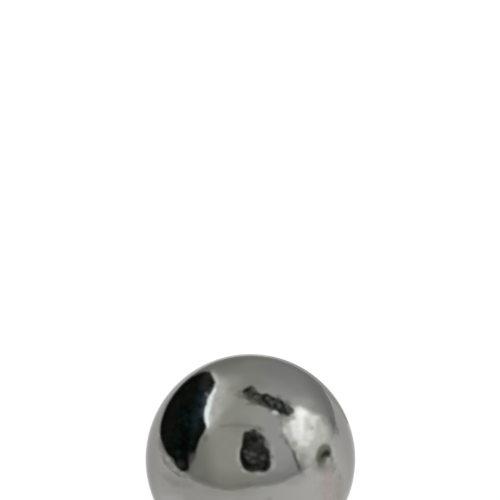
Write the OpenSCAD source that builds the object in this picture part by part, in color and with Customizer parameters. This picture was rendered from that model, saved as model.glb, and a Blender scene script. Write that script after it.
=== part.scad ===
// Steel ball: one solid piece, ground and lapped to a true sphere.
// Millimetres, +Z up, with the origin at the centre of the ball.

/* [Ball] */
// Diameter of the ball, the same across every axis through its centre
ball_d = 25.4; // [6.35:0.05:50.8]

/* [Hidden] */
// Sides of the ball's outline where it is drawn as a mesh
$fn = 128;
polished_steel = [0.61, 0.61, 0.59];

// The whole surface is one sphere, with no flat, seam, pole or hole.
module ball() {
    color(polished_steel)
        sphere(d = ball_d);
}

ball();
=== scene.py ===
"""A polished steel ball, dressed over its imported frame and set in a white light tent.

Lengths are metres. A direction is an azimuth and an elevation in degrees, seen from the centre of the ball:
azimuth 0 is the camera's side, 90 is to the camera's right, and elevation 90 is straight up.
"""

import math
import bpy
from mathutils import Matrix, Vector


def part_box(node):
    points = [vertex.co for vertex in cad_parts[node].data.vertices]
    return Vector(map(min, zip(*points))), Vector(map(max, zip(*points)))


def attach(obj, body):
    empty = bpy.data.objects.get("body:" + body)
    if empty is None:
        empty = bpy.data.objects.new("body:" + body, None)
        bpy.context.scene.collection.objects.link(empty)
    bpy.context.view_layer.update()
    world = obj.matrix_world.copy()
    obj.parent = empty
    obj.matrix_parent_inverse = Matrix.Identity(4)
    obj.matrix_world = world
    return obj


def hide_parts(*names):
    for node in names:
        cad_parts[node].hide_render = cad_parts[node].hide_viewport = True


bl_info = {
    "name": "Steel Ball",
    "version": (1, 0, 0),
    "blender": (4, 5, 0),
    "location": "View3D > Sidebar > Steel Ball",
    "description": "Makes a polished steel ball and the light tent that it mirrors",
    "category": "Object",
}

from typing import NamedTuple

import bmesh
import bpy
from bpy.props import FloatProperty, FloatVectorProperty, IntProperty, PointerProperty
from mathutils import Matrix, Quaternion, Vector
from mathutils.geometry import intersect_line_sphere, intersect_point_line

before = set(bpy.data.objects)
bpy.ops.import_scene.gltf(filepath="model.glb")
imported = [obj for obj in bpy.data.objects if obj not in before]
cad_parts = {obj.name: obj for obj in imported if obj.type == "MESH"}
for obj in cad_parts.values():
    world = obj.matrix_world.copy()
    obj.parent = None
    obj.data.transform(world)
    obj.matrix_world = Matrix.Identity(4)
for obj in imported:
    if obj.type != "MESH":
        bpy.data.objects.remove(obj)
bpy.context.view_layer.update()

NODE = "ball"
BODY = "root"
BALL_LOW, BALL_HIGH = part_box(NODE)
BALL_CENTRE = (BALL_LOW + BALL_HIGH) / 2
BALL_RADIUS = (BALL_HIGH.z - BALL_LOW.z) / 2

# The camera's square frame, and the ball's outline in it, in pixels.
FRAME_PX = 500
BALL_CENTRE_PX = (250.45, 458.75)
BALL_RADIUS_PX = 105.0


class SteelBallProperties(bpy.types.PropertyGroup):
    """What a user would change on the ball itself."""

    diameter: FloatProperty(
        name="Diameter",
        description="Diameter of the ball",
        default=2 * BALL_RADIUS,
        min=0.001,
        unit="LENGTH",
    )
    cuts: IntProperty(
        name="Cuts",
        description="Cuts across each of the six patches that the ball's surface is made of",
        default=79,
        min=3,
        max=120,
    )
    steel: FloatVectorProperty(
        name="Steel",
        description="Colour of the polished steel",
        default=(0.300, 0.296, 0.284),
        size=3,
        min=0.0,
        max=1.0,
        subtype="COLOR",
    )
    rim: FloatProperty(
        name="Rim",
        description="How much of a mirror's rise in brightness towards its rim the steel keeps",
        default=0.68,
        min=0.0,
        max=1.0,
        subtype="FACTOR",
    )
    polish: FloatProperty(
        name="Polish",
        description="Roughness where the steel is clean and evenly lapped",
        default=0.065,
        min=0.0,
        max=1.0,
        subtype="FACTOR",
    )
    haze: FloatProperty(
        name="Haze",
        description="Roughness that handling haze adds where it lies thickest",
        default=0.05,
        min=0.0,
        max=1.0,
        subtype="FACTOR",
    )


class StudioProperties(bpy.types.PropertyGroup):
    """What a user would change in the studio."""

    elevation: FloatProperty(
        name="Camera elevation",
        description="How high the camera stands above the ball's horizon",
        default=math.radians(28.5),
        subtype="ANGLE",
    )
    roll: FloatProperty(
        name="Camera roll",
        description="How far the camera leans clockwise about its line of sight to the ball",
        default=math.radians(5.0),
        subtype="ANGLE",
    )
    lens: FloatProperty(
        name="Lens",
        description="Focal length of the camera in millimetres",
        default=200.0,
        min=1.0,
        unit="CAMERA",
    )
    floor_radius: FloatProperty(
        name="Floor",
        description="Radius of the floor and of the dome of cloth above it",
        default=2.0,
        min=0.5,
        unit="LENGTH",
    )
    cloth: FloatVectorProperty(
        name="Cloth",
        description="Light that the tent's cloth gives where nothing shades it",
        default=(0.785, 0.80, 0.785),
        size=3,
        min=0.0,
        max=4.0,
        subtype="COLOR",
    )


# Shader helpers


def fill_inputs(tree, made, inputs):
    """Sets or links a node's inputs; each is named by its label or index, and is a value or a socket."""
    for key, value in inputs.items():
        if isinstance(value, bpy.types.NodeSocket):
            tree.links.new(value, made.inputs[key])
        else:
            made.inputs[key].default_value = value


def new_node(tree, kind, inputs=None, **settings):
    """A node of the given kind with its settings and inputs."""
    made = tree.nodes.new(kind)
    for name, value in settings.items():
        setattr(made, name, value)
    fill_inputs(tree, made, inputs or {})
    return made


def maths(tree, operation, *values, clamp=False):
    """The result of a Math node; each value is a number or a socket."""
    made = new_node(tree, "ShaderNodeMath", dict(enumerate(values)), operation=operation, use_clamp=clamp)
    return made.outputs[0]


def vector_maths(tree, operation, *values):
    """A Vector Math node; each value is a vector or a socket."""
    return new_node(tree, "ShaderNodeVectorMath", dict(enumerate(values)), operation=operation)


def ramp(tree, value, low, high, to_low=0.0, to_high=1.0):
    """The value eased from to_low at low to to_high at high."""
    inputs = {"Value": value, "From Min": low, "From Max": high, "To Min": to_low, "To Max": to_high}
    return new_node(tree, "ShaderNodeMapRange", inputs, interpolation_type="SMOOTHSTEP").outputs["Result"]


def mix_colours(tree, share, first, second):
    """The first colour, with that share of the second; the node's colours go in at 6 and 7 and out at 2."""
    return new_node(tree, "ShaderNodeMix", {0: share, 6: first, 7: second}, data_type="RGBA").outputs[2]


def noise(tree, vector, **inputs):
    """The plain result of a Noise Texture node."""
    return new_node(tree, "ShaderNodeTexNoise", {"Vector": vector, **inputs}).outputs[0]


def object_place(tree):
    """Object coordinates, measured from the ball's centre."""
    place = tree.nodes.new("ShaderNodeTexCoord").outputs["Object"]
    return vector_maths(tree, "SUBTRACT", place, BALL_CENTRE).outputs["Vector"]


def solid(colour, level=1.0):
    """The colour at that level, opaque."""
    return (*[part * level for part in colour], 1.0)


def new_group(name, vectors, numbers, result="Mask"):
    """A shader node group that gives one number, what its user gives it, and the socket for its result."""
    group = bpy.data.node_groups.new(name, "ShaderNodeTree")
    for labels, kind in ((vectors, "Vector"), (numbers, "Float")):
        for label in labels:
            group.interface.new_socket(name=label, in_out="INPUT", socket_type=f"NodeSocket{kind}")
    group.interface.new_socket(name=result, in_out="OUTPUT", socket_type="NodeSocketFloat")
    given = group.nodes.new("NodeGroupInput").outputs
    return group, given, group.nodes.new("NodeGroupOutput").inputs[result]


def use_group(tree, group, inputs):
    """The one result of a group that is placed in the tree with these inputs."""
    made = tree.nodes.new("ShaderNodeGroup")
    made.node_tree = group
    fill_inputs(tree, made, inputs)
    return made.outputs[0]


def new_material(name):
    """An empty node material, its tree and its output node."""
    material = bpy.data.materials.new(name)
    material.use_nodes = True
    tree = material.node_tree
    tree.nodes.clear()
    return material, tree, tree.nodes.new("ShaderNodeOutputMaterial")


def direction(azimuth, elevation):
    """The unit vector of a direction."""
    a, e = math.radians(azimuth), math.radians(elevation)
    return Vector((math.sin(a) * math.cos(e), -math.cos(a) * math.cos(e), math.sin(e)))


def new_piece(name, bm, material, smooth=True):
    """An object in the scene that holds the finished bmesh, at the origin, in the given material."""
    mesh = bpy.data.meshes.new(name)
    bm.to_mesh(mesh)
    bm.free()
    mesh.polygons.foreach_set("use_smooth", [smooth] * len(mesh.polygons))
    mesh.materials.append(material)
    piece = bpy.data.objects.new(name, mesh)
    bpy.context.scene.collection.objects.link(piece)
    return piece


# Effects that are used more than once

# Lapping marks: how much of its row a line may stray over, the step between rows in the noise that breaks
# the lines into runs, its scale, its level where a run starts at no cover, how far full cover lowers that
# level, and how sharply a run starts.
LINE_STRAY = 0.6
ROW_STEP = 7.3
RUN_SCALE = 160.0
RUN_LEVEL = 0.82
RUN_GAIN = 0.5
RUN_SHARPNESS = 12.0
# Specks: the least size of one as a share of the given size, and where its soft edge starts.
SPECK_LEAST = 0.4
SPECK_EDGE = 0.6
# Smudges: the scale of the noise that makes the edge ragged, its swing, and where the edge starts and ends
# to fade; both are in radii.
RAGGED_SCALE = 2200.0
RAGGED_SWING = 1.2
SMUDGE_FADE = (0.2, 1.3)
# How far the exponent of a mottle swings at full contrast.
MOTTLE_SWING = 10.0


def lapping_marks_group():
    """Fine arcs left by lapping: thin parallel cuts across one direction, each broken into short runs."""
    group, given, mask = new_group("Lapping marks", ("Vector", "Across"), ("Spacing", "Width", "Cover"))
    place = given["Vector"]
    spacing = given["Spacing"]
    along = vector_maths(group, "DOT_PRODUCT", place, given["Across"]).outputs["Value"]
    steps = maths(group, "DIVIDE", along, spacing)
    row = maths(group, "FLOOR", steps)
    shift = new_node(group, "ShaderNodeTexWhiteNoise", {"W": row}, noise_dimensions="1D").outputs["Value"]
    middle = maths(group, "MULTIPLY_ADD", shift, LINE_STRAY, (1 - LINE_STRAY) / 2)
    gap = maths(group, "ABSOLUTE", maths(group, "SUBTRACT", maths(group, "FRACT", steps), middle))
    distance = maths(group, "MULTIPLY", gap, spacing)
    line = ramp(group, maths(group, "DIVIDE", distance, given["Width"]), 0.0, 1.0, 1.0, 0.0)
    run = new_node(
        group,
        "ShaderNodeTexNoise",
        {"Vector": place, "W": maths(group, "MULTIPLY", row, ROW_STEP), "Scale": RUN_SCALE, "Detail": 1.0},
        noise_dimensions="4D",
    ).outputs[0]
    start = maths(group, "MULTIPLY_ADD", given["Cover"], -RUN_GAIN, RUN_LEVEL)
    shown = maths(group, "MULTIPLY", maths(group, "SUBTRACT", run, start), RUN_SHARPNESS, clamp=True)
    group.links.new(maths(group, "MULTIPLY", line, shown), mask)
    return group


def specks_group():
    """Scattered round specks: tiny pits and dust, sparse and of uneven size."""
    group, given, mask = new_group("Specks", ("Vector",), ("Scale", "Size", "Share"))
    cells = new_node(group, "ShaderNodeTexVoronoi", {"Vector": given["Vector"], "Scale": given["Scale"]})
    pick = new_node(group, "ShaderNodeSeparateColor", {"Color": cells.outputs["Color"]})
    reach = maths(group, "MULTIPLY", given["Size"], maths(group, "ADD", pick.outputs["Green"], SPECK_LEAST))
    away = maths(group, "DIVIDE", cells.outputs["Distance"], reach)
    dot = ramp(group, away, SPECK_EDGE, 1.0, 1.0, 0.0)
    kept = maths(group, "LESS_THAN", pick.outputs["Red"], given["Share"])
    group.links.new(maths(group, "MULTIPLY", dot, kept), mask)
    return group


def smudge_group():
    """One faint smudge about a place on the surface, with a ragged edge."""
    group, given, mask = new_group("Smudge", ("Vector", "Place"), ("Radius",))
    place = given["Vector"]
    away = vector_maths(group, "DISTANCE", place, given["Place"]).outputs["Value"]
    cloud = noise(group, place, Scale=RAGGED_SCALE, Detail=2.0)
    ragged = maths(group, "MULTIPLY_ADD", cloud, RAGGED_SWING, -RAGGED_SWING / 2)
    edge = maths(group, "ADD", maths(group, "DIVIDE", away, given["Radius"]), ragged)
    group.links.new(ramp(group, edge, *SMUDGE_FADE, 1.0, 0.0), mask)
    return group


def lobe_group():
    """A broad soft spot: 1 about its axis and 0 beyond its outer angle; both angles are given as cosines."""
    group, given, mask = new_group("Lobe", ("Direction", "Axis"), ("Inner", "Outer"))
    facing = vector_maths(group, "DOT_PRODUCT", given["Direction"], given["Axis"]).outputs["Value"]
    group.links.new(ramp(group, facing, given["Outer"], given["Inner"]), mask)
    return group


def mottle_group():
    """Uneven light, as of hung cloth or of clutter in a dark place: a factor about 1."""
    group, given, factor = new_group("Mottle", ("Vector",), ("Size", "Contrast"), "Factor")
    scale = maths(group, "DIVIDE", 1.0, given["Size"])
    cloud = noise(group, given["Vector"], Scale=scale, Detail=3.0, Roughness=0.6)
    swing = maths(group, "MULTIPLY_ADD", cloud, MOTTLE_SWING, -MOTTLE_SWING / 2)
    power = maths(group, "MULTIPLY", swing, given["Contrast"])
    group.links.new(maths(group, "EXPONENT", power), factor)
    return group


# The ball

# Each family of lapping marks: the direction it is cut across, its spacing, its width and its cover.
MARK_FAMILIES = (
    ((0.31, -0.62, 0.72), 0.0013, 0.000028, 0.40),
    ((-0.83, 0.12, 0.54), 0.0017, 0.000024, 0.34),
    ((0.64, 0.58, 0.50), 0.0015, 0.000030, 0.34),
    ((-0.22, -0.91, 0.35), 0.0019, 0.000026, 0.40),
    ((0.90, -0.38, -0.20), 0.0016, 0.000022, 0.36),
    ((-0.48, 0.47, 0.74), 0.0021, 0.000034, 0.32),
)
# Faint smudges: the direction in which each lies on the ball, and its radius.
SMUDGES = (
    ((-32, 61.5), 0.00030),
    ((-12, 65), 0.00028),
    ((-30.5, 38), 0.00024),
    ((-57, 6), 0.00026),
    ((-62, 11), 0.00020),
    ((55, 2), 0.00040),
    ((118, 22), 0.00026),
    ((-150, 34), 0.00030),
    ((172, -12), 0.00034),
)
SPECKS = {"Scale": 420.0, "Size": 0.055, "Share": 0.1}
# The handling haze: its noise, and the levels of it at which haze starts and is thickest.
HAZE_CLOUD = {"Scale": 110.0, "Detail": 5.0, "Roughness": 0.62, "Distortion": 0.8}
HAZE_RANGE = (0.38, 0.72)
# What each of these adds to the roughness, and the level of the steel's colour under it.
MARK_ROUGHNESS = 0.14
SPECK_ROUGHNESS = 0.3
SMUDGE_ROUGHNESS = 0.1
HAZED_STEEL = 0.95
SPECK_STEEL = 0.6
SMUDGE_STEEL = 0.86


def polished_steel(settings):
    """Bare lapped steel: a mirror dulled a little by haze, with fine lapping arcs, specks and smudges."""
    material, tree, output = new_material("polished_steel")
    place = object_place(tree)
    marks_group = lapping_marks_group()
    marks = 0.0
    for across, spacing, width, cover in MARK_FAMILIES:
        inputs = {"Vector": place, "Across": across, "Spacing": spacing, "Width": width, "Cover": cover}
        marks = maths(tree, "MAXIMUM", marks, use_group(tree, marks_group, inputs))
    smudge = smudge_group()
    smudges = 0.0
    for where, radius in SMUDGES:
        inputs = {"Vector": place, "Place": direction(*where) * BALL_RADIUS, "Radius": radius}
        smudges = maths(tree, "MAXIMUM", smudges, use_group(tree, smudge, inputs))
    specks = use_group(tree, specks_group(), {"Vector": place, **SPECKS})
    haze = ramp(tree, noise(tree, place, **HAZE_CLOUD), *HAZE_RANGE)
    rough = settings.polish
    for mask, added in (
        (haze, settings.haze),
        (marks, MARK_ROUGHNESS),
        (specks, SPECK_ROUGHNESS),
        (smudges, SMUDGE_ROUGHNESS),
    ):
        rough = maths(tree, "MULTIPLY_ADD", mask, added, rough, clamp=True)
    colour = solid(settings.steel)
    for mask, level in ((haze, HAZED_STEEL), (specks, SPECK_STEEL), (smudges, SMUDGE_STEEL)):
        colour = mix_colours(tree, mask, colour, solid(settings.steel, level))
    steel = new_node(
        tree,
        "ShaderNodeBsdfPrincipled",
        {
            "Base Color": colour,
            "Metallic": 1.0,
            "Roughness": rough,
            "Specular Tint": (settings.rim, settings.rim, settings.rim, 1.0),
        },
    )
    tree.links.new(steel.outputs["BSDF"], output.inputs["Surface"])
    return material


def round_off(bm, radius):
    """Draws a finely cut cube out to a sphere, once its cuts are spread to equal angles."""
    for vert in bm.verts:
        even = Vector([math.tan(math.radians(45) * part) for part in vert.co])
        vert.co = even.normalized() * radius


class STEELBALL_OT_make_ball(bpy.types.Operator):
    """Make the polished ball over its plain solid"""

    bl_idname = "steel_ball.make_ball"
    bl_label = "Polished ball"

    def execute(self, context):
        settings = context.scene.steel_ball
        bm = bmesh.new()
        bmesh.ops.create_cube(bm, size=2.0)
        bmesh.ops.subdivide_edges(bm, edges=bm.edges[:], cuts=settings.cuts, use_grid_fill=True)
        round_off(bm, settings.diameter / 2)
        bmesh.ops.translate(bm, verts=bm.verts, vec=BALL_CENTRE)
        bmesh.ops.recalc_face_normals(bm, faces=bm.faces)
        piece = new_piece("polished_ball", bm, polished_steel(settings))
        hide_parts(NODE)
        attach(piece, BODY)
        return {"FINISHED"}


# The floor and the tent's cloth

# The floor paper's grey, the light it adds where it is seen or mirrored, that light's colour, and how many
# sides the floor has.
FLOOR_GREY = 0.8
FLOOR_LIFT = 0.42
FLOOR_TINT = (1.0, 0.997, 0.97)
FLOOR_SIDES = 96
DOME_SUBDIVISIONS = 6
# Broad changes in light: direction, inner and outer angle in degrees, and factor.
FLOOR_LOBES = (
    ((-65, -6), 5, 46, 0.74),
    ((10, -8), 5, 45, 0.86),
    ((60, -22), 5, 75, 1.43),
    ((180, -25), 5, 60, 1.35),
    ((-141, -12), 8, 48, 0.74),
    ((126, -12), 5, 30, 0.87),
    ((-95, -34), 8, 24, 1.16),
)
CLOTH_LOBES = (
    ((180, 10), 5, 70, 0.78),
    ((-170, 3), 4, 22, 0.88),
    ((-80, 5), 5, 48, 0.61),
    ((50, 45), 5, 52, 1.18),
    ((-12, 64), 2, 16, 0.90),
    ((-115, 62), 5, 20, 1.30),
    ((-158, 50), 3, 16, 1.22),
    ((160, 62), 2, 13, 0.93),
    ((130, 50), 3, 20, 1.05),
)
# The cloth is dimmer at its foot: the sines of elevation between which it brightens, and the factor below.
CLOTH_FOOT = (-0.03, 0.3, 0.78)
CLOTH_FOLDS = {"Size": 0.3, "Contrast": 0.012}
CLOTH_OLIVE = (1.0, 1.0, 0.94)
CLOTH_LILAC = (0.985, 0.99, 1.02)
# The lilac gathers to the right: its noise's scale, the pull to that side, and the range it comes in over.
LILAC_SCALE = 1.7
LILAC_PULL = 1.5
LILAC_RANGE = (0.68, 1.06)


def mirror_rays(tree, path):
    """1 for rays that a surface mirrors or lets through."""
    return maths(tree, "ADD", path.outputs["Is Glossy Ray"], path.outputs["Is Transmission Ray"], clamp=True)


def lobed_light(tree, lobe, unit, light, lobes):
    """The light times the factor of each lobe that reaches the direction."""
    for (azimuth, elevation), inner, outer, factor in lobes:
        inputs = {
            "Direction": unit,
            "Axis": direction(azimuth, elevation),
            "Inner": math.cos(math.radians(inner)),
            "Outer": math.cos(math.radians(outer)),
        }
        mask = use_group(tree, lobe, inputs)
        light = maths(tree, "MULTIPLY", light, maths(tree, "MULTIPLY_ADD", mask, factor - 1.0, 1.0))
    return light


def floor_white(lobe):
    """White floor paper that keeps a soft shadow; its lift holds it white where the camera sees it, and
    where it is mirrored the lift is painted lighter or darker by direction: painted light and shade.
    """
    material, tree, output = new_material("floor_white")
    unit = vector_maths(tree, "NORMALIZE", object_place(tree)).outputs["Vector"]
    paper = new_node(tree, "ShaderNodeBsdfDiffuse", {"Color": solid((FLOOR_GREY,) * 3)})
    path = tree.nodes.new("ShaderNodeLightPath")
    # For mirror rays the lift is scaled by the floor lobes: painted light and shade on the mirrored floor.
    mirrored = lobed_light(tree, lobe, unit, mirror_rays(tree, path), FLOOR_LOBES)
    lift = maths(tree, "MULTIPLY", maths(tree, "ADD", path.outputs["Is Camera Ray"], mirrored), FLOOR_LIFT)
    glow = new_node(tree, "ShaderNodeEmission", {"Color": solid(FLOOR_TINT), "Strength": lift})
    both = new_node(tree, "ShaderNodeAddShader", {0: paper.outputs[0], 1: glow.outputs[0]})
    tree.links.new(both.outputs[0], output.inputs["Surface"])
    return material


def tent_cloth(settings, lobe, mottle):
    """The tent's cloth, lit from outside: it gives light, and dims towards its foot and its far corners."""
    material, tree, output = new_material("tent_cloth")
    unit = vector_maths(tree, "NORMALIZE", object_place(tree)).outputs["Vector"]
    height = new_node(tree, "ShaderNodeSeparateXYZ", {"Vector": unit}).outputs["Z"]
    low, high, foot = CLOTH_FOOT
    light = lobed_light(tree, lobe, unit, ramp(tree, height, low, high, foot, 1.0), CLOTH_LOBES)
    light = maths(tree, "MULTIPLY", light, use_group(tree, mottle, {"Vector": unit, **CLOTH_FOLDS}))
    olive, lilac = [
        [part * shade for part, shade in zip(settings.cloth, tint)] for tint in (CLOTH_OLIVE, CLOTH_LILAC)
    ]
    side = new_node(tree, "ShaderNodeSeparateXYZ", {"Vector": unit}).outputs["X"]
    pulled = maths(tree, "MULTIPLY_ADD", side, LILAC_PULL, noise(tree, unit, Scale=LILAC_SCALE))
    patch = ramp(tree, pulled, *LILAC_RANGE)
    colour = mix_colours(tree, patch, solid(olive), solid(lilac))
    glow = new_node(tree, "ShaderNodeEmission", {"Color": colour, "Strength": light})
    tree.links.new(glow.outputs[0], output.inputs["Surface"])
    return material


def mirrored_only(thing):
    """Lets only mirror rays meet the object, so it neither shows nor lights nor shades anything else."""
    thing.visible_camera = False
    thing.visible_diffuse = False
    thing.visible_transmission = False
    thing.visible_volume_scatter = False
    thing.visible_shadow = False


# What stands in the tent or opens it, and painted light and painted shade on its cloth and floor, outlined
# in pixels of the frame where the camera sees it mirrored.
SIDE_OPENING = (
    (198, 373.6), (202.2, 371.9), (206.4, 371.5), (210, 373), (212.3, 376), (213.8, 379.5), (215.3, 382.5),
    (213.8, 385.5), (213, 388.5), (211.5, 391.5), (209.5, 394.5), (209, 400), (208, 405), (207, 409),
    (206.5, 414), (206.3, 419), (206.8, 423), (206.4, 427), (204.9, 430.5), (203.1, 434), (200.7, 437.5),
    (199, 441), (197.6, 446), (196.2, 450), (195.8, 452.5), (193.8, 454.3), (191, 455.8), (190, 458),
    (189.9, 463), (189.4, 467), (189, 469.5), (186.8, 471.2), (182.8, 471.6), (180.2, 470.2), (178.2, 467.8),
    (175.7, 465), (174.6, 462.2), (173.8, 459.8), (171.3, 457.2), (168.6, 455), (166.4, 452.2), (164.9, 449),
    (163.6, 445), (161.9, 441.5), (160.6, 437), (160.1, 431), (160.6, 424), (163.8, 413), (168, 403.8),
    (174.2, 394.1), (181.9, 385), (191, 377.2),
)
OPENING_GLARE = (
    (215, 387.6), (216.2, 389.5), (215.2, 392.5), (213, 396.5), (212.6, 400), (211.5, 404.5), (210.6, 409),
    (209.2, 414), (209, 418), (209.5, 421), (209.4, 424), (208.4, 427.6), (207.4, 427.8), (206.5, 425),
    (204.9, 420.5), (204.4, 414.5), (205.2, 409), (207.2, 404.5), (207.4, 400.5), (208.7, 396.8),
    (211, 394.1), (212.4, 391.7), (214, 389.4),
)
GLARE_FRINGE = (
    (209.5, 388), (213, 387), (210, 396), (209, 402), (206, 410), (206, 416.5), (202.5, 417), (199.8, 413.5),
    (200, 409), (201.8, 404), (202, 398), (204.8, 394),
)
# A painted highlight: the bright strip along the side opening's right edge.
OPENING_LIP_HIGHLIGHT = (
    (212, 372.5), (215, 374), (217.6, 377), (219, 381), (218.3, 385), (217, 389), (213.5, 390.5),
    (212.5, 386), (214.5, 382.5), (212.5, 379), (210.5, 375),
)
OPENING_GLOW = (
    (213, 373), (219, 377), (227, 382), (226, 392), (221, 400), (221, 410), (219, 418), (214, 426),
    (209, 431), (203, 431), (201, 422), (202, 408), (206, 392), (212, 383),
)
OPENING_WISP = ((189, 454), (196, 451.6), (196, 457), (193.6, 461), (191, 464), (188.8, 464))
CEILING_SLIT = (
    (242.8, 389.7), (245, 388.2), (248.4, 386.6), (250.5, 385.3), (253.8, 386.6), (255.3, 388.8),
    (256.8, 390.6), (259, 392.8), (262.5, 394), (266.6, 393.2), (269.8, 394.7), (273.5, 396.8), (280, 398.4),
    (282.5, 400.4), (284.3, 402.4), (286.5, 404.4), (290, 406.4), (292.8, 408.2), (294.3, 410.8),
    (293.3, 413), (290.6, 414.6), (289, 416.5), (286.8, 416.3), (284.5, 415), (280, 414.6), (278.6, 412.4),
    (276.5, 411), (271.5, 410.2), (268, 408.4), (262, 406.2), (257, 404.7), (252.5, 403), (249, 401),
    (246, 399), (243.8, 396.8), (243.2, 394.5), (242.2, 392),
)
CAMERA_BODY = (
    (244.3, 431.4), (247, 431), (249.8, 431), (252, 429.2), (256, 429.2), (257, 432), (261.6, 433.8),
    (263.8, 436.2), (265.6, 438.4), (266.2, 440.6), (264.8, 442.5), (264.8, 444.8), (266.4, 447),
    (268.8, 448.6), (269.9, 451), (270, 455), (270.1, 460), (270.9, 464.2), (270.3, 466.8), (268.9, 469.2),
    (266.6, 471.4), (262, 472.4), (258, 471.4), (253, 472.6), (249, 471.8), (246.3, 470.8), (244, 469),
    (242.7, 466.7), (241.9, 464.5), (241.2, 462.4), (240.1, 460.5), (239.8, 458.5), (239.9, 454),
    (240, 450.5), (240.9, 448), (241.6, 445.8), (241.9, 442.5), (242.4, 438), (243, 434.5),
)
CAMERA_LEFT_RIM = (
    (240.4, 452), (242.6, 452), (243.8, 456.5), (246, 460.5), (248, 463), (252, 464), (252, 467),
    (247.4, 468.6), (243.2, 466.6), (241.2, 462.5), (240.4, 457),
)
CAMERA_RIGHT_RIM = (
    (266.5, 448.8), (269.8, 450), (270, 455), (270, 460), (270.6, 465), (268, 469.6), (262.5, 471.2),
    (262, 468.2), (265, 466.4), (266, 462), (267.4, 458), (266.8, 453),
)
# A painted highlight on the camera's strap.
STRAP_HIGHLIGHT = ((264.5, 440.3), (267.8, 440.8), (269.8, 443), (270, 445.6), (268, 447.6), (264.6, 446))
LAMP_CORE = (
    (294.6, 410.4), (300, 408.4), (305, 409.4), (310, 413.4), (310.6, 417), (305.8, 418.6), (304.4, 424),
    (305.8, 432), (303.5, 440), (298, 441), (293, 436.5), (291.3, 429), (289.5, 424.6), (291, 420.6),
    (295, 416),
)
LAMP_CLOTH = (
    (289.5, 420), (294.4, 412), (297.2, 408.4), (301, 407.4), (308, 410.6), (313, 414.2), (320.4, 415.8),
    (321, 420), (322.5, 425.4), (326.8, 427.4), (327.2, 439), (319, 445.5), (310, 451), (299, 450),
    (292, 444), (286, 437), (284, 427),
)
LAMP_SPILL = (
    (284.5, 422), (291.5, 411), (295.5, 405), (303, 405), (316, 414), (323.5, 417.5), (328.5, 425.5),
    (332.5, 436), (333.5, 443), (328, 449), (316, 458), (313, 467), (306, 467), (299, 456), (290, 445),
    (284, 432),
)
# A painted highlight: the light edge along the top of the ceiling slit.
SLIT_RIM_HIGHLIGHT = (
    (256, 389), (261.5, 388.6), (269, 390.6), (275, 394), (278, 396.5), (274, 395.5), (269, 393),
    (262, 392.4), (258.5, 391.5),
)
UPPER_SEAM = (
    (279.6, 418), (281.6, 418), (282.6, 427), (283.2, 433), (286, 438), (284.5, 439), (281.6, 435),
    (280, 427),
)
MIDDLE_SEAM = (
    (285, 437.5), (288, 439.5), (289.6, 445), (293.6, 450.6), (292, 452), (288.5, 447), (286, 444.5),
    (284.2, 440.5),
)
LOWER_SEAM = (
    (292.2, 450.8), (294.8, 451), (296.2, 456), (298, 461), (300.4, 466), (301.6, 471), (299.6, 472.4),
    (297.4, 468), (295.4, 462.5), (293.2, 457), (292, 453.5),
)
# Painted shade: a darker streak in the tent's corner, right of the lower seam.
CORNER_SHADE_STREAK = ((299, 453), (302.5, 454), (304, 461), (305, 469), (302, 471), (301, 463), (299.5, 458))
FRONT_HEM = (
    (219.5, 425.4), (226, 424.2), (233, 423.2), (240, 423), (248, 424), (254, 425.2), (259, 426.8),
    (264, 429.6), (265, 431.5), (260, 431), (254, 429.6), (248, 428.6), (240, 427.4), (231, 427),
    (225, 427.4), (220, 427.6),
)
SMALL_WEIGHT = (
    (318.6, 448), (321.8, 444.6), (325.5, 443.6), (329, 445.2), (331.3, 448.5), (331.8, 453), (330.8, 456.6),
    (327.6, 457.6), (326.6, 460), (325, 463), (322.5, 466), (319.5, 467), (317.8, 465), (316.7, 461),
    (316, 457), (316.8, 452),
)
WEIGHT_CORE = (
    (321, 455.5), (323, 452), (325, 450.3), (329.4, 450), (330, 453), (329.6, 457.2), (327, 456.4),
    (324, 457.2), (321, 457.6),
)
REAR_SHADE = (
    (307, 380), (314, 384), (320, 389.5), (325.5, 397), (330, 406), (332.6, 416), (334.2, 422),
    (334.6, 426.5), (332, 428), (328.4, 421), (324, 412), (318, 403), (311, 393), (305, 385),
)
# Painted shade on the mirrored floor behind the ball, seen along the ball's upper right rim.
REAR_RIM_SHADE = (
    (347, 424), (339, 408.5), (328, 395), (315.6, 381.8), (301.8, 370.6), (285.5, 362.2), (268, 356.5),
    (269, 353.5), (287, 358), (304, 366), (319, 377), (332.5, 390), (343, 405), (351, 422),
)
WALL_FOOT = (
    (190, 478.5), (197, 482.3), (205, 485.4), (214, 487.8), (225, 490.4), (235, 490.6), (243, 489),
    (250, 487.6), (260, 486.8), (269, 486), (277, 484.6), (284, 482), (291, 478.4), (299, 474.4),
)


def band(edge, near, far):
    """The outline between two copies of an edge, one raised by near pixels and one by far."""
    return tuple([(x, y - near) for x, y in edge] + [(x, y - far) for x, y in reversed(edge)])


def oval(x, y, width, height, lean=0.0, points=12):
    """The outline of an ellipse of that width and height, turned clockwise by lean degrees."""
    outline = []
    for step in range(points):
        turn = math.tau * step / points
        point = Vector((math.cos(turn) * width / 2, math.sin(turn) * height / 2))
        point.rotate(Matrix.Rotation(math.radians(lean), 2))
        outline.append((x + point.x, y + point.y))
    return tuple(outline)


def ovals(*shapes):
    """Outlines of ellipses, each given by its centre, width, height and lean."""
    return [oval(*shape) for shape in shapes]


# How far from the ball's centre a card stands, in metres. The floor hides what a card shows below about 5
# degrees under the horizon at FAR, 15 at NEAR and 25 at NEARER; it hides nothing at NEAREST.
FAR = 0.14
NEAR = 0.05
NEARER = 0.03
NEAREST = 0.018


class Card(NamedTuple):
    """A sheet that only the ball's mirror shows, drawn as the camera sees it there.

    Its edge fades over soft pixels, inset pixels inside the outline. Its blotches are blotch pixels across.
    """

    name: str
    outlines: list
    light: tuple
    soft: float = 3.0
    inset: float = 0.0
    reach: float = FAR
    opacity: float = 1.0
    blotch: float = 6.0
    contrast: float = 0.05


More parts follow.
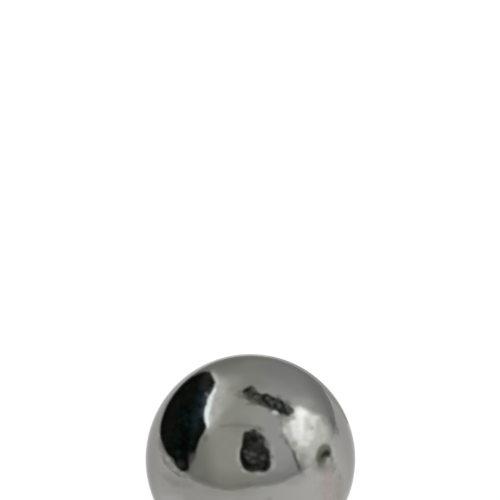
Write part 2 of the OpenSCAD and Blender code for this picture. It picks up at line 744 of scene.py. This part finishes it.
# A later card lies in front of an earlier one at the same reach.
CARDS = (
    Card("wall_shade", [band(WALL_FOOT[3:], 5, 20)], (0.5, 0.51, 0.45), soft=14, opacity=0.25),
    # The next two cards are painted shade: darker bands along the wall's foot, where it meets the floor.
    Card("wall_foot_shade", [band(WALL_FOOT[:8], 0, 5.5)], (0.44, 0.445, 0.4), opacity=0.85),
    Card("wall_sill_shade", [band(WALL_FOOT[7:], 0, 4)], (0.52, 0.525, 0.48), opacity=0.8),
    # Painted shade: the mirrored floor darkened along the ball's upper right rim.
    Card("rear_rim_shade", [REAR_RIM_SHADE], (0.2, 0.2, 0.2), soft=2.5, reach=NEAREST, opacity=0.41),
    Card(
        "rear_shade", [REAR_SHADE, oval(231, 364.5, 28, 9, -14)],
        (0.34, 0.345, 0.335), soft=9, opacity=0.25,
    ),
    # Painted shade: a deeper patch at the outer end of the rear shade.
    Card(
        "rear_shade_spot", ovals((332.8, 422, 4, 11, -22), (335.2, 432.5, 3, 7, -8)),
        (0.3, 0.305, 0.27), soft=4, opacity=0.5,
    ),
    Card("front_hem", [FRONT_HEM], (0.55, 0.555, 0.52), opacity=0.6),
    Card("opening_glow", [OPENING_GLOW], (1.38, 1.41, 1.38), soft=11, opacity=0.75, contrast=0.06),
    # Painted highlight along the side opening's right edge.
    Card("opening_lip_highlight", [OPENING_LIP_HIGHLIGHT], (1.5, 1.53, 1.48), soft=2.5, opacity=0.85, blotch=3, contrast=0.08),
    Card(
        "foot_shade", ovals((181, 474.5, 24, 6, 8), (165, 460, 4.5, 10, -24), (162.8, 448, 7, 20, -21)),
        (0.6, 0.605, 0.57), soft=5, opacity=0.7,
    ),
    # The next two cards are painted shade on the floor at the side opening's foot.
    Card("foot_shade_band", ovals((170, 469, 28, 14, 42)), (0.52, 0.525, 0.505), soft=7, opacity=0.55),
    Card(
        "floor_shade", ovals((171, 480, 22, 9, 30), (184, 484, 20, 7, 12)),
        (0.6, 0.605, 0.585), soft=7, reach=NEARER, opacity=0.4,
    ),
    Card("foot_light", ovals((197.5, 471.5, 13, 12, 30)), (0.62, 0.625, 0.6), soft=8, opacity=0.45),
    Card(
        "foot_glints", ovals((167.4, 459, 4, 5.5, -30), (175, 469.5, 4, 3.5, 30), (182, 473, 5, 2)),
        (1.05, 1.05, 1.02), opacity=0.9,
    ),
    Card("opening_edge", [SIDE_OPENING], (0.005, 0.007, 0.005), soft=2.6, inset=-0.3),
    Card("opening_inside", [SIDE_OPENING], (0.007, 0.014, 0.012), soft=4, inset=4, blotch=9, contrast=0.5),
    Card(
        "opening_brown", ovals((169.5, 424, 12, 52, 10), (188, 394, 10, 26, 35)),
        (0.02, 0.019, 0.013), soft=9, opacity=0.7, blotch=4, contrast=0.2,
    ),
    Card("opening_upper", ovals((206, 382, 8, 20, 15)), (0.05, 0.058, 0.05), soft=8, contrast=0.25),
    Card(
        "opening_navy", ovals((200, 402, 8, 32, 8), (195.5, 421, 8, 26, 5)),
        (0.026, 0.046, 0.062), soft=7, opacity=0.8, contrast=0.3,
    ),
    Card("glare_fringe", [GLARE_FRINGE], (0.1, 0.125, 0.165), soft=5, opacity=0.85, blotch=3, contrast=0.2),
    Card("fringe_light", ovals((207.2, 394.8, 5.5, 2.6, 45)), (0.55, 0.63, 0.66), opacity=0.7),
    Card("opening_glare", [OPENING_GLARE], (2.4, 2.64, 2.7), blotch=4, contrast=0.08),
    Card("glare_blue", ovals((206.6, 413.8, 2.4, 17)), (2.6, 2.85, 3.2), opacity=0.75),
    Card("glare_side", ovals((211, 418.8, 5, 7.5)), (1.7, 1.77, 1.64), opacity=0.65),
    Card("glare_dots", ovals((200.6, 420.6, 4, 5), (200.6, 406.6, 5, 4)), (0.0, 0.01, 0.02), opacity=0.6),
    Card("opening_tab", ovals((180.5, 464.5, 8, 8)), (0.06, 0.061, 0.054), soft=4, blotch=4, contrast=0.3),
    Card("opening_tip", ovals((183.4, 469.6, 5.5, 3)), (0.0, 0.0, 0.0), soft=2),
    Card("opening_wisp", [OPENING_WISP], (0.14, 0.14, 0.13), soft=3.5, opacity=0.85),
    Card("lamp_haze", ovals((303, 402, 22, 10, 10)), (1.15, 1.16, 1.12), soft=8, opacity=0.5),
    Card("lamp_spill", [LAMP_SPILL], (1.4, 1.41, 1.35), soft=9, opacity=0.8),
    Card("lamp_cloth", [LAMP_CLOTH], (1.58, 1.6, 1.54), soft=6, opacity=0.9, blotch=5, contrast=0.08),
    Card("lamp_middle", ovals((308.5, 427, 16, 27)), (2.05, 2.07, 2.02), soft=5, opacity=0.7),
    Card("lamp_core", [LAMP_CORE], (2.4, 2.44, 2.5), soft=5, blotch=4, contrast=0.06),
    Card(
        "lamp_patches", ovals(
            (313, 420.5, 6.5, 10), (309.5, 435, 8, 12), (304, 443, 13, 7), (293.5, 422, 5, 4),
            (284.6, 430.5, 4, 5), (316.5, 417.6, 5, 3), (298, 408.4, 7, 3),
        ),
        (2.35, 2.37, 2.33), soft=4, opacity=0.85, blotch=4, contrast=0.06,
    ),
    Card(
        "lamp_stripe", ovals((301.6, 413, 11, 6), (300.8, 419.5, 5, 26, -3), (293.8, 421.6, 4, 4)),
        (3.0, 3.02, 3.02), opacity=0.7,
    ),
    Card(
        "lamp_edges", ovals((313, 452, 6, 14), (282.4, 429, 5, 5), (298, 457, 4, 6)),
        (1.55, 1.56, 1.5), soft=4, opacity=0.75,
    ),
    Card(
        "lamp_marks", ovals(
            (287, 420, 5, 6), (292.6, 418, 6, 5), (294.5, 444, 6, 6), (312, 428, 4, 4), (304.5, 457, 5, 6),
            (285.4, 442, 5, 5), (325.5, 421.5, 5, 8, -30),
        ),
        (0.9, 0.9, 0.87), opacity=0.65,
    ),
    # Painted highlight along the top of the ceiling slit.
    Card("slit_rim_highlight", [SLIT_RIM_HIGHLIGHT], (0.84, 0.85, 0.82), opacity=0.7),
    # Painted shade about the ceiling slit's edges and under it.
    Card(
        "slit_fringe_shade", ovals(
            (240, 392.5, 6, 5), (240.5, 396.5, 7, 4), (251, 404, 10, 3.5), (288.6, 403, 6, 3.5, 40),
            (279.5, 396.6, 6, 3, 20), (272, 410, 9, 4, 5), (281, 416.4, 9, 3.5),
        ),
        (0.5, 0.5, 0.47), soft=3.5, opacity=0.8,
    ),
    Card("ceiling_slit", [CEILING_SLIT], (0.13, 0.13, 0.115), soft=2.5, blotch=3, contrast=0.25),
    Card("slit_cast", ovals((281, 405, 20, 7, 33)), (0.1, 0.138, 0.128), soft=4, opacity=0.7),
    # Painted shade beside and below the ceiling slit.
    Card(
        "slit_shade", ovals(
            (245, 396.5, 6, 6, 30), (253.5, 401.5, 11, 4, 25), (254.5, 389.5, 4, 4),
            (285.5, 401.5, 5, 3, 40),
        ),
        (0.42, 0.42, 0.39), opacity=0.6,
    ),
    Card(
        "slit_dark", ovals(
            (247.2, 390.2, 7, 3.5, -20), (255, 394.7, 6, 2.5, 10), (264, 397.6, 5, 7, -5),
            (267.8, 403.4, 8, 3, 55), (272.6, 399, 5, 2.5, 25), (267, 395.8, 5, 2.6, 20),
            (265, 401, 5, 2.6, 20),
        ),
        (0.02, 0.02, 0.015), soft=2.5, opacity=0.9,
    ),
    Card(
        "slit_bars", ovals(
            (275.2, 406.2, 3.6, 6), (281.5, 403.2, 6, 3, 45), (283.5, 407.4, 3, 5, -5),
            (279.8, 410.8, 6, 4.5, 10), (286, 412, 5.5, 4, 25),
        ),
        (0.004, 0.022, 0.018), soft=2.5, opacity=0.9,
    ),
    Card(
        "slit_light", ovals(
            (267.4, 398.4, 3, 3.5), (256, 397, 5, 4), (262.8, 404.8, 4, 2.5), (271.8, 402.6, 4, 2.5),
            (288.7, 410.6, 4, 3.5), (291.5, 411.5, 3.5, 4),
        ),
        (0.3, 0.3, 0.28), soft=2.5, opacity=0.75,
    ),
    Card(
        "slit_teal", ovals((279.3, 405.6, 3.5, 4.5), (287, 406, 4, 5, -20)),
        (0.23, 0.31, 0.3), opacity=0.8,
    ),
    Card("slit_bulb", ovals((275, 412.6, 6, 3.8, 12)), (1.65, 1.67, 1.63), soft=2, opacity=0.95),
    # A lighter patch on the camera's top.
    Card("camera_top_patch", ovals((257, 429.2, 12, 6.5, 8)), (0.4, 0.405, 0.395), opacity=0.85),
    Card("camera_halo", [CAMERA_BODY], (0.98, 0.98, 0.94), inset=-3, opacity=0.4),
    Card(
        "camera_gleams", ovals(
            (272.4, 450, 3.4, 11), (273.6, 465.5, 4.6, 11, 12), (238, 456, 3, 17), (259.5, 473.8, 10, 3.4),
            (244.5, 470.8, 8, 3, 20),
        ),
        (1.2, 1.2, 1.17), opacity=0.8,
    ),
    Card("camera_edge", [CAMERA_BODY], (0.028, 0.029, 0.02), soft=2, blotch=3, contrast=0.4),
    Card("camera_inside", [CAMERA_BODY], (0.06, 0.061, 0.054), soft=4, inset=3.8, blotch=3, contrast=0.35),
    Card("camera_rims", [CAMERA_LEFT_RIM, CAMERA_RIGHT_RIM], (0.0, 0.0, 0.0), soft=1.8),
    # Painted highlights: faint glints on the camera's lens.
    Card("lens_glint", ovals((257.5, 445, 9, 6), (252, 432.5, 5, 4)), (0.11, 0.111, 0.105), opacity=0.7),
    # Painted highlights on the camera's strap and just right of the camera.
    Card("strap_highlight", [STRAP_HIGHLIGHT, oval(272, 456.6, 3, 3)], (0.42, 0.43, 0.39), soft=2.5, opacity=0.85),
    Card(
        "camera_dark", ovals(
            (246, 443.6, 5.5, 13, 3), (254.6, 439.6, 6.5, 6), (262.6, 446.5, 2.5, 4, -10),
            (265, 461.5, 3, 4), (252.4, 437.6, 4, 3), (246, 466, 7, 5.5, 20), (254.5, 465, 12, 3.5),
            (255.5, 458.3, 8, 2.5), (262, 453, 3, 3), (268, 463.5, 3, 6),
        ),
        (0.01, 0.01, 0.007), soft=2.5, opacity=0.8,
    ),
    Card(
        "camera_glints", ovals(
            (252.8, 454.2, 8, 4, 20), (246, 451.8, 2.5, 3.5), (248, 457.6, 4, 3, 20),
            (262.8, 457.8, 4.5, 3.5), (253.4, 461.3, 5, 3), (260.8, 440.8, 4, 3), (257.5, 433.6, 5, 2.5, 20),
        ),
        (0.34, 0.34, 0.33), opacity=0.6,
    ),
    Card("upper_seam", [UPPER_SEAM], (0.62, 0.62, 0.58), soft=2, opacity=0.6),
    # Painted shade beside the upper seam.
    Card("seam_shade", ovals((282, 436.6, 6, 4.5)), (0.6, 0.6, 0.58), opacity=0.6),
    Card("corner_light", ovals((281, 467.5, 11, 9)), (0.86, 0.86, 0.83), soft=5, opacity=0.5),
    Card("middle_seam", [MIDDLE_SEAM], (0.36, 0.36, 0.33), soft=2.5, opacity=0.7),
    Card("wall_mark", ovals((205.6, 439, 5, 7, 30)), (0.45, 0.46, 0.475), opacity=0.6),
    Card(
        "floor_gleam", ovals((318.5, 476.5, 10, 17), (172, 498.5, 24, 9, 5)),
        (1.35, 1.35, 1.33), soft=6, reach=NEARER, opacity=0.4,
    ),
    Card("floor_olive", ovals((230, 491, 54, 14)), (0.72, 0.72, 0.56), soft=8, reach=NEAR, opacity=0.25),
    Card("floor_mark", ovals((269.5, 500, 6, 5)), (0.7, 0.7, 0.63), soft=4, reach=NEAREST, opacity=0.4),
    # Painted shade at the foot of the tent's corner.
    Card("corner_foot_shade", ovals((301, 473.5, 6, 4)), (0.6, 0.6, 0.57), soft=4, reach=NEAR, opacity=0.6),
    Card("lower_seam", [LOWER_SEAM], (0.22, 0.22, 0.2), soft=2, opacity=0.9),
    # Painted shade in the tent's corner.
    Card("corner_shade_streak", [CORNER_SHADE_STREAK], (0.55, 0.55, 0.54), soft=4, opacity=0.4),
    Card(
        "corner_shade", ovals((297, 479, 20, 10, -25)),
        (0.5, 0.5, 0.49), soft=10, reach=NEAR, opacity=0.22,
    ),
    Card(
        "weight_shadow", ovals((325, 468, 24, 12), (321.5, 468, 10, 7)),
        (0.51, 0.5, 0.41), soft=7, reach=NEAR, opacity=0.45,
    ),
    Card(
        "weight_gleam", ovals((333, 451, 3.4, 10), (333.6, 460, 3, 6)),
        (1.5, 1.5, 1.45), reach=NEAR, opacity=0.6,
    ),
    Card("small_weight", [SMALL_WEIGHT], (0.375, 0.4, 0.305), reach=NEAR, opacity=0.92, contrast=0.08),
    Card(
        "weight_limb", ovals((320.8, 457.5, 6, 11, 10), (331.8, 459.5, 3, 7)),
        (0.215, 0.232, 0.165), soft=4, reach=NEAR, opacity=0.65,
    ),
    Card("weight_core", [WEIGHT_CORE], (0.044, 0.048, 0.032), reach=NEAR, opacity=0.95),
    Card("warm_floor", ovals((327, 488, 12, 40, 3)), (1.18, 0.98, 0.94), soft=7, reach=NEAREST, opacity=0.6),
    Card("warm_edge", ovals((338, 489, 11, 34, 2)), (1.0, 0.88, 0.81), soft=8, reach=NEAREST, opacity=0.55),
)
COVER_LAYER = "cover"
DRAWN_LAYER = "drawn"
# How near the ball's rim an outline may come, and how much nearer to the ball each card is than the last.
RIM_LIMIT = 0.995
CARD_STEP = 0.001


def depth_inside(point, outline):
    """How deep a point lies inside an outline; it is negative outside."""
    depth = math.inf
    inside = False
    for start, end in zip(outline, outline[1:] + outline[:1]):
        along = intersect_point_line(point, start, end)[1]
        nearest = Vector(start).lerp(Vector(end), min(max(along, 0.0), 1.0))
        depth = min(depth, (point - nearest).length)
        if (start[1] > point.y) != (end[1] > point.y):
            crossing = start[0] + (point.y - start[1]) / (end[1] - start[1]) * (end[0] - start[0])
            inside ^= point.x < crossing
    return depth if inside else -depth


def lens_pixels(lens):
    """The lens's focal length in pixels of the frame."""
    return lens.lens / lens.sensor_width * FRAME_PX


def mirrored_place(pixel, reach):
    """The place at that distance from the ball's centre which the camera sees mirrored at a pixel."""
    camera = bpy.context.scene.camera
    centre = Vector(BALL_CENTRE_PX)
    off = Vector(pixel) - centre
    off.length = min(off.length, BALL_RADIUS_PX * RIM_LIMIT)
    x, y = centre + off
    line = Vector((x - FRAME_PX / 2, FRAME_PX / 2 - y, -lens_pixels(camera.data)))
    line.rotate(camera.rotation_quaternion)
    hit = intersect_line_sphere(camera.location, camera.location + line, BALL_CENTRE, BALL_RADIUS, False)[1]
    bounced = line.reflect(hit - BALL_CENTRE)
    return intersect_line_sphere(hit, hit + bounced, BALL_CENTRE, reach, False)[0]


def smooth(part):
    """The part, held between 0 and 1, with its ends eased."""
    part = min(max(part, 0.0), 1.0)
    return part * part * (3 - 2 * part)


def card_mesh(card, reach):
    """The sheet at that distance which the ball mirrors into the card's outlines, with fading edges."""
    bm = bmesh.new()
    cover = bm.verts.layers.float.new(COVER_LAYER)
    drawn = bm.verts.layers.float_vector.new(DRAWN_LAYER)
    margin = max(card.soft / 2 - card.inset, 0.0) + 1
    for outline in card.outlines:
        low = [min(point[axis] for point in outline) - margin for axis in (0, 1)]
        high = [max(point[axis] for point in outline) + margin for axis in (0, 1)]
        cells = [math.ceil(high[axis] - low[axis]) for axis in (0, 1)]
        grid = bmesh.ops.create_grid(bm, x_segments=cells[0], y_segments=cells[1], size=0.5)
        for vert in grid["verts"]:
            pixel = Vector([low[axis] + (vert.co[axis] + 0.5) * (high[axis] - low[axis]) for axis in (0, 1)])
            vert[cover] = smooth((depth_inside(pixel, outline) - card.inset) / card.soft + 0.5)
            vert[drawn] = pixel.to_3d()
            vert.co = mirrored_place(pixel, reach)
    bare = [face for face in bm.faces if not any(vert[cover] for vert in face.verts)]
    bmesh.ops.delete(bm, geom=bare, context="FACES")
    return bm


def card_material(card, mottle):
    """What a card shows in a mirror: light of one colour, in soft blotches, over as much as it covers."""
    material, tree, output = new_material(card.name)
    drawn = new_node(tree, "ShaderNodeAttribute", attribute_name=DRAWN_LAYER).outputs["Vector"]
    cover = new_node(tree, "ShaderNodeAttribute", attribute_name=COVER_LAYER).outputs["Fac"]
    uneven = use_group(tree, mottle, {"Vector": drawn, "Size": card.blotch, "Contrast": card.contrast})
    glow = new_node(tree, "ShaderNodeEmission", {"Color": solid(card.light), "Strength": uneven})
    clear = tree.nodes.new("ShaderNodeBsdfTransparent")
    share = maths(tree, "MULTIPLY", cover, card.opacity)
    blend = new_node(tree, "ShaderNodeMixShader", {0: share, 1: clear.outputs[0], 2: glow.outputs[0]})
    tree.links.new(blend.outputs[0], output.inputs["Surface"])
    return material


# The foot of the tent's rear wall: azimuths with its distance there, its fade at each end in degrees, its
# height over its distance, its rows of faces, and a slack for rounding, in degrees.
REAR_WALL_PLAN = (
    (112, 0.12), (122, 0.2), (126, 0.9), (136, 0.9), (142, 0.5), (147, 0.5), (153, 0.24), (165, 0.33),
    (198, 0.33),
)
REAR_WALL_FADE = 12
REAR_WALL_RISE = 0.19
REAR_WALL_ROWS = 6
SLACK = 0.01
REAR_WALL = Card("rear_wall", [], (0.55, 0.55, 0.545))


def rear_wall_mesh():
    """A strip that stands on the floor and hides what lies beyond it from the ball's rim; its top fades."""
    bm = bmesh.new()
    cover = bm.verts.layers.float.new(COVER_LAYER)
    bm.verts.layers.float_vector.new(DRAWN_LAYER)
    start, end = REAR_WALL_PLAN[0][0], REAR_WALL_PLAN[-1][0]
    bmesh.ops.create_grid(bm, x_segments=end - start, y_segments=REAR_WALL_ROWS, size=0.5)
    for vert in bm.verts:
        azimuth = start + (vert.co.x + 0.5) * (end - start)
        rise = vert.co.y + 0.5
        vert[cover] = smooth(min(azimuth - start, end - azimuth) / REAR_WALL_FADE) * smooth(2 - 2 * rise)
        for (before, near), (after, far) in zip(REAR_WALL_PLAN, REAR_WALL_PLAN[1:]):
            if before <= azimuth <= after + SLACK:
                distance = near + (far - near) * (azimuth - before) / (after - before)
                break
        vert.co = BALL_CENTRE + direction(azimuth, 0) * distance
        vert.co.z = BALL_LOW.z + rise * REAR_WALL_RISE * distance
    return bm


# The light, the background and the camera

# The background's level for rays that the floor scatters.
AMBIENT = 0.25
SUN_DIRECTION = (150, 62)
SUN_STRENGTH = 1.9
SUN_ANGLE = 40


def white_world():
    """A white background; rays that the floor scatters meet it at a lower level."""
    world = bpy.data.worlds.new("studio")
    bpy.context.scene.world = world
    world.use_nodes = True
    tree = world.node_tree
    tree.nodes.clear()
    path = tree.nodes.new("ShaderNodeLightPath")
    shown = maths(tree, "ADD", path.outputs["Is Camera Ray"], mirror_rays(tree, path), clamp=True)
    level = maths(tree, "MULTIPLY_ADD", shown, 1.0 - AMBIENT, AMBIENT)
    white = new_node(tree, "ShaderNodeBackground", {"Color": solid((1.0, 1.0, 1.0)), "Strength": level})
    output = tree.nodes.new("ShaderNodeOutputWorld")
    tree.links.new(white.outputs[0], output.inputs["Surface"])


def soft_sun():
    """Broad soft light from above and behind; mirror rays pass it by, as the cloth would hide the lamp."""
    lamp = bpy.data.lights.new("soft_sun", "SUN")
    lamp.angle = math.radians(SUN_ANGLE)
    lamp.energy = SUN_STRENGTH
    made = bpy.data.objects.new("soft_sun", lamp)
    made.rotation_mode = "QUATERNION"
    made.rotation_quaternion = direction(*SUN_DIRECTION).to_track_quat("Z", "Y")
    made.visible_glossy = False
    bpy.context.scene.collection.objects.link(made)


def place_camera(settings):
    """Aims a long lens so that the ball falls on its place in the frame, with no lens shift."""
    data = bpy.data.cameras.new("camera")
    data.lens = settings.lens
    camera = bpy.data.objects.new("camera", data)
    bpy.context.scene.collection.objects.link(camera)
    bpy.context.scene.camera = camera
    lens_px = lens_pixels(data)
    right_px = BALL_CENTRE_PX[0] - FRAME_PX / 2
    down_px = BALL_CENTRE_PX[1] - FRAME_PX / 2
    half_width = math.atan(BALL_RADIUS_PX / math.hypot(lens_px, down_px))
    back = direction(0, math.degrees(settings.elevation))
    camera.location = BALL_CENTRE + back * (BALL_RADIUS / math.sin(half_width))
    raise_view = Quaternion((1, 0, 0), math.atan(down_px / lens_px))
    turn_view = Quaternion((0, 1, 0), math.atan(right_px / lens_px))
    lean = Quaternion(-back, settings.roll)
    camera.rotation_mode = "QUATERNION"
    camera.rotation_quaternion = lean @ (-back).to_track_quat("-Z", "Y") @ turn_view @ raise_view


class STEELBALL_OT_make_studio(bpy.types.Operator):
    """Make the camera, the floor, the tent that the ball mirrors and the light"""

    bl_idname = "steel_ball.make_studio"
    bl_label = "Light tent"

    def execute(self, context):
        settings = context.scene.steel_ball_studio
        lobe = lobe_group()
        mottle = mottle_group()
        place_camera(settings)
        bm = bmesh.new()
        bmesh.ops.create_circle(bm, cap_ends=True, segments=FLOOR_SIDES, radius=settings.floor_radius)
        bmesh.ops.translate(bm, verts=bm.verts, vec=(BALL_CENTRE.x, BALL_CENTRE.y, BALL_LOW.z))
        new_piece("floor", bm, floor_white(lobe), smooth=False)
        bm = bmesh.new()
        bmesh.ops.create_icosphere(bm, subdivisions=DOME_SUBDIVISIONS, radius=settings.floor_radius)
        bmesh.ops.translate(bm, verts=bm.verts, vec=BALL_CENTRE)
        cards = [new_piece("tent_dome", bm, tent_cloth(settings, lobe, mottle))]
        cards.append(new_piece(REAR_WALL.name, rear_wall_mesh(), card_material(REAR_WALL, mottle)))
        for order, card in enumerate(CARDS):
            mesh = card_mesh(card, card.reach * (1 - CARD_STEP * order))
            cards.append(new_piece(card.name, mesh, card_material(card, mottle)))
        for card in cards:
            mirrored_only(card)
        white_world()
        soft_sun()
        context.scene.view_settings.view_transform = "Standard"
        return {"FINISHED"}


class STEELBALL_PT_sidebar(bpy.types.Panel):
    """The ball and its studio, in the sidebar"""

    bl_idname = "STEELBALL_PT_sidebar"
    bl_label = "Steel Ball"
    bl_space_type = "VIEW_3D"
    bl_region_type = "UI"
    bl_category = "Steel Ball"

    def draw(self, context):
        for settings, operator in (
            (context.scene.steel_ball, STEELBALL_OT_make_ball),
            (context.scene.steel_ball_studio, STEELBALL_OT_make_studio),
        ):
            column = self.layout.column()
            for name in settings.__annotations__:
                column.prop(settings, name)
            column.operator(operator.bl_idname)


CLASSES = (
    SteelBallProperties,
    StudioProperties,
    STEELBALL_OT_make_ball,
    STEELBALL_OT_make_studio,
    STEELBALL_PT_sidebar,
)


def register():
    """Makes the add-on's classes and settings known to Blender."""
    for cls in CLASSES:
        bpy.utils.register_class(cls)
    bpy.types.Scene.steel_ball = PointerProperty(type=SteelBallProperties)
    bpy.types.Scene.steel_ball_studio = PointerProperty(type=StudioProperties)


def unregister():
    """Takes the add-on's settings and classes away again."""
    del bpy.types.Scene.steel_ball_studio
    del bpy.types.Scene.steel_ball
    for cls in reversed(CLASSES):
        bpy.utils.unregister_class(cls)


def main():
    """Makes the ball and its studio."""
    register()
    bpy.ops.steel_ball.make_ball()
    bpy.ops.steel_ball.make_studio()


if __name__ == "__main__":
    main()
